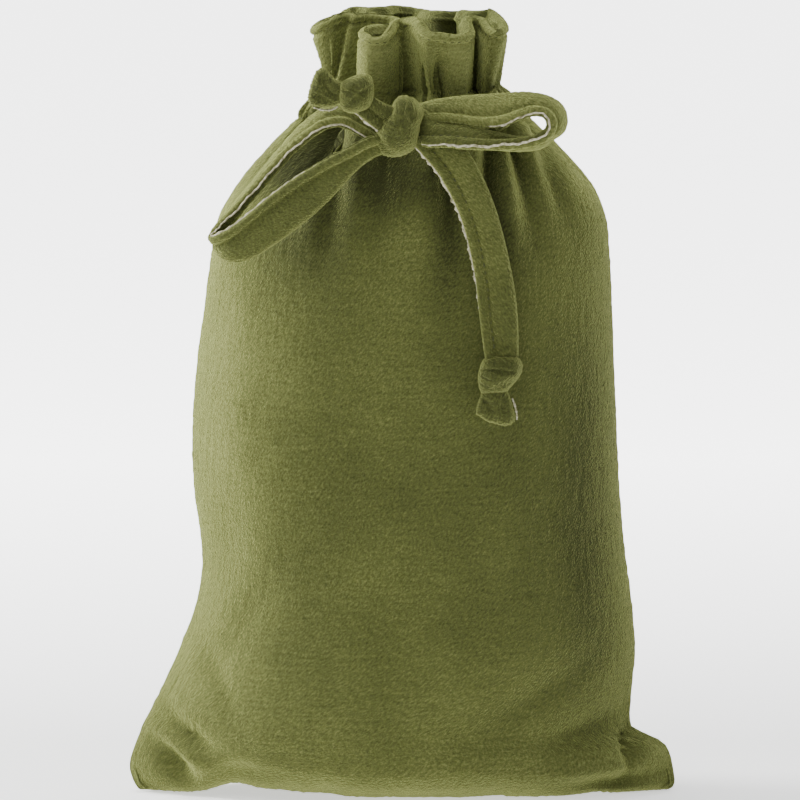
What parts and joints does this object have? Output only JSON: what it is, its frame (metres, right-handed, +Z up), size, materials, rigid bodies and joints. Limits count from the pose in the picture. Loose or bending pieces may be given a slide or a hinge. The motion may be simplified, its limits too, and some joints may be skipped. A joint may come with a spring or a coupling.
{
  "type": "drawstring gift sack",
  "caption": "Standing plush fabric gift sack with a gathered neck, a ruffled mouth and a ribbon drawstring tied in a bow.",
  "frame": {"origin": "on the floor under the middle of the sack", "axes": "+Z up to the ruffle, -Y to the front with the bow, +X to the right as the front is looked at"},
  "size_m": [0.2025, 0.1049, 0.288],
  "materials": {
    "plush": "short olive pile with a soft sheen",
    "backing": "cream knitted backing, frayed at the cut edge",
    "thread": "dull olive sewing thread"
  },
  "bodies": {
    "sack": {"front_panel": "plush", "back_panel": "plush", "front_ruffle": "plush", "back_ruffle": "plush", "neck_ribbon": "plush", "bow_knot": "plush", "left_side_seam_thread": "thread", "right_side_seam_thread": "thread", "bottom_seam_thread": "thread", "casing_thread": "thread", "neck_thread": "thread", "rim_hem_thread": "thread"},
    "left_loop": {"left_loop_ribbon": "plush", "left_loop_raw_edge": "backing", "left_loop_thread": "thread"},
    "right_loop": {"right_loop_ribbon": "plush", "right_loop_raw_edge": "backing", "right_loop_thread": "thread"},
    "right_tail": {"right_tail_ribbon": "plush", "right_tail_raw_edge": "backing", "right_tail_thread": "thread", "right_end_knot": "plush", "right_tail_end": "plush"},
    "left_tail": {"left_tail_ribbon": "plush", "left_tail_raw_edge": "backing", "left_end_knot": "plush", "left_tail_end": "plush"}
  },
  "joints": [
    {"name": "left_loop_swing", "type": "hinge", "parent": "sack", "child": "left_loop", "pos_m": [-0.0015, -0.0438, 0.249], "axis": [0, 0, 1], "range_deg": [0, 50]},
    {"name": "right_loop_swing", "type": "hinge", "parent": "sack", "child": "right_loop", "pos_m": [-0.0015, -0.0438, 0.249], "axis": [0, 0, -1], "range_deg": [0, 50]},
    {"name": "right_tail_lift", "type": "hinge", "parent": "sack", "child": "right_tail", "pos_m": [0.02, -0.047, 0.234], "axis": [-1, 0, 0], "range_deg": [0, 70]},
    {"name": "left_tail_lift", "type": "hinge", "parent": "left_loop", "child": "left_tail", "pos_m": [-0.0015, -0.0438, 0.249], "axis": [0, 1, 0], "range_deg": [0, 45]}
  ]
}
